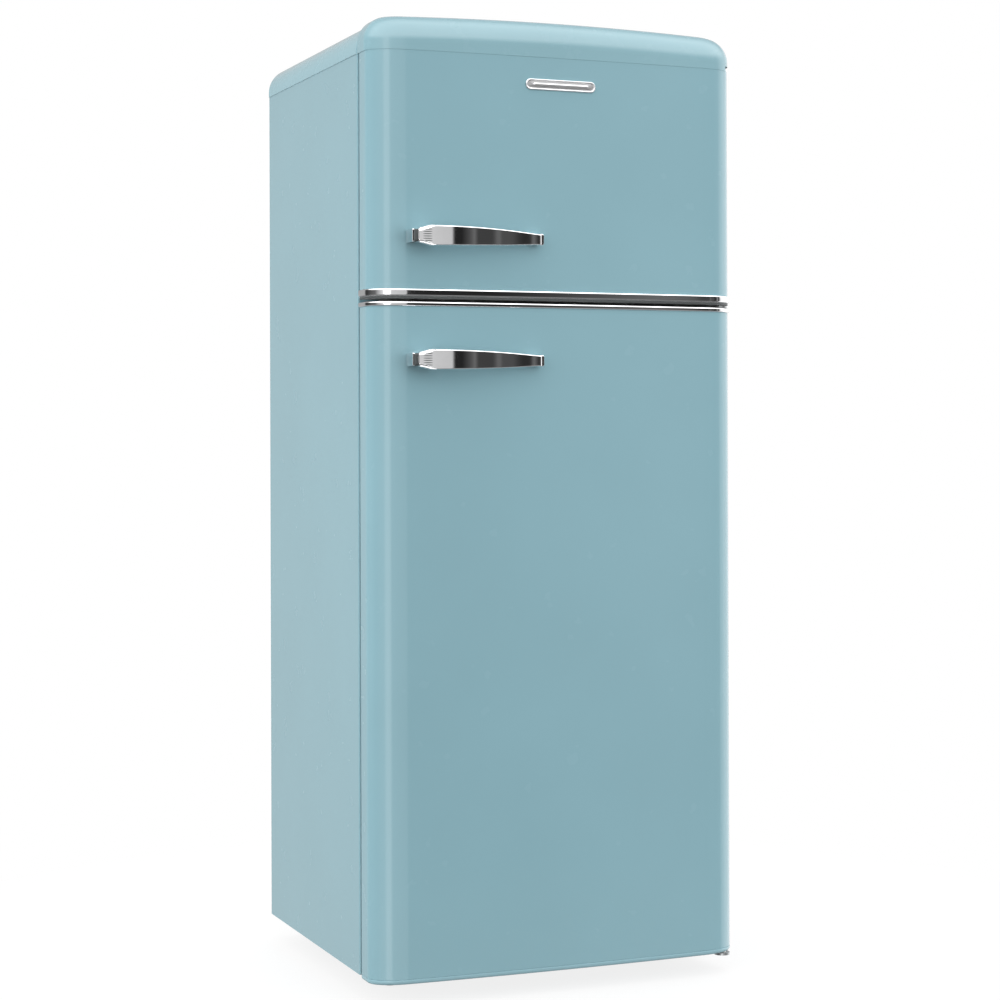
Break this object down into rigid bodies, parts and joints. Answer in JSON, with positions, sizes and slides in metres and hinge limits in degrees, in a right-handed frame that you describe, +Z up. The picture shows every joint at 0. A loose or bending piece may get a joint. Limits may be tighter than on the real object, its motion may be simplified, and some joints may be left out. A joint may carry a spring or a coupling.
{
  "type": "top freezer refrigerator",
  "caption": "Retro top-freezer refrigerator with rounded lid, two hinged doors, chrome bar handles and trim, shelves, drawer and compressor.",
  "frame": {"origin": "on the floor, under the middle of the overall box", "axes": "+Z up, doors and handles face -Y, +X to the right of someone facing the doors; the hinges are at +X"},
  "size_m": [0.593, 0.612, 1.44],
  "materials": {
    "turquoise_steel": "gloss",
    "turquoise_plastic": "gloss",
    "chrome_plate": "polished",
    "dark_grey_plastic": "satin",
    "white_plastic": "satin",
    "clear_plastic": "gloss",
    "shelf_glass": "gloss",
    "galvanised_steel": "satin",
    "white_steel": "satin",
    "black_steel": "satin",
    "grey_rubber": "matte",
    "black_rubber": "matte",
    "foam": "matte",
    "aluminium_plate": "satin",
    "copper_tube": "satin",
    "lamp_glass": "gloss"
  },
  "bodies": {
    "cabinet": {"back_panel": "galvanised_steel", "base_frame": "galvanised_steel", "bottom_hinge": "galvanised_steel", "compressor": "black_steel", "compressor_grommets": "black_rubber", "condenser": "black_steel", "crisper_cover": "shelf_glass", "drip_tray": "dark_grey_plastic", "evaporator": "aluminium_plate", "freezer_liner": "white_plastic", "freezer_shelf": "white_steel", "fridge_liner": "white_plastic", "glass_shelf_lower": "shelf_glass", "glass_shelf_upper": "shelf_glass", "hinge_screws": "galvanised_steel", "insulation_foam": "foam", "lamp": "lamp_glass", "lamp_housing": "white_plastic", "lamp_lens": "clear_plastic", "middle_hinge": "galvanised_steel", "middle_rail": "white_steel", "power_inlet": "dark_grey_plastic", "refrigerant_tubes": "copper_tube", "side_panel_left": "turquoise_steel", "side_panel_right": "turquoise_steel", "top_cover": "turquoise_plastic", "top_hinge": "galvanised_steel", "wall_spacers": "dark_grey_plastic"},
    "freezer_door": {"badge": "chrome_plate", "freezer_door_bin_lower": "clear_plastic", "freezer_door_bin_upper": "clear_plastic", "freezer_door_bottom_cap": "dark_grey_plastic", "freezer_door_bushes": "white_plastic", "freezer_door_cap": "turquoise_plastic", "freezer_door_foam": "foam", "freezer_door_gasket": "grey_rubber", "freezer_door_liner": "white_plastic", "freezer_door_skin": "turquoise_steel", "freezer_door_top_plate": "dark_grey_plastic", "freezer_door_trim": "chrome_plate", "freezer_handle": "chrome_plate"},
    "fridge_door": {"fridge_door_bin_lower": "clear_plastic", "fridge_door_bin_upper": "clear_plastic", "fridge_door_bottle_rack": "clear_plastic", "fridge_door_bottom_cap": "turquoise_plastic", "fridge_door_bushes": "white_plastic", "fridge_door_foam": "foam", "fridge_door_gasket": "grey_rubber", "fridge_door_liner": "white_plastic", "fridge_door_skin": "turquoise_steel", "fridge_door_top_cap": "dark_grey_plastic", "fridge_door_trim": "chrome_plate", "fridge_handle": "chrome_plate"},
    "thermostat_knob": {"thermostat_knob": "white_plastic"},
    "light_switch_plunger": {"light_switch_plunger": "white_plastic"},
    "crisper_drawer": {"crisper_drawer": "clear_plastic"},
    "roller_left": {"roller_left": "dark_grey_plastic"},
    "roller_right": {"roller_right": "dark_grey_plastic"},
    "levelling_foot_left": {"levelling_foot_left": "dark_grey_plastic"},
    "levelling_foot_right": {"levelling_foot_right": "dark_grey_plastic"}
  },
  "joints": [
    {"name": "freezer_door_hinge", "type": "hinge", "parent": "cabinet", "child": "freezer_door", "pos_m": [0.28, -0.234, 1.2], "axis": [0, 0, 1], "range_deg": [0, 105]},
    {"name": "fridge_door_hinge", "type": "hinge", "parent": "cabinet", "child": "fridge_door", "pos_m": [0.28, -0.234, 0.525], "axis": [0, 0, 1], "range_deg": [0, 105]},
    {"name": "thermostat_knob_turn", "type": "hinge", "parent": "cabinet", "child": "thermostat_knob", "pos_m": [0.198, -0.058, 0.936], "axis": [-1, 0, 0], "range_deg": [0, 270]},
    {"name": "light_switch_slide", "type": "slide", "parent": "cabinet", "child": "light_switch_plunger", "axis": [0, -1, 0], "range_m": [0, 0.008]},
    {"name": "crisper_slide", "type": "slide", "parent": "cabinet", "child": "crisper_drawer", "axis": [0, -1, 0], "range_m": [0, 0.026]},
    {"name": "roller_left_spin", "type": "hinge", "parent": "cabinet", "child": "roller_left", "pos_m": [-0.205, 0.236, 0.016], "axis": [1, 0, 0], "continuous": true},
    {"name": "roller_right_spin", "type": "hinge", "parent": "cabinet", "child": "roller_right", "pos_m": [0.205, 0.236, 0.016], "axis": [1, 0, 0], "continuous": true},
    {"name": "levelling_foot_left_turn", "type": "hinge", "parent": "cabinet", "child": "levelling_foot_left", "pos_m": [-0.222, -0.122, 0.02], "axis": [0, 0, 1], "continuous": true},
    {"name": "levelling_foot_right_turn", "type": "hinge", "parent": "cabinet", "child": "levelling_foot_right", "pos_m": [0.222, -0.122, 0.02], "axis": [0, 0, 1], "continuous": true}
  ],
  "couplings": [
    {"joint": "light_switch_slide", "follows": "fridge_door_hinge", "m_per_rad": 0.00436}
  ]
}
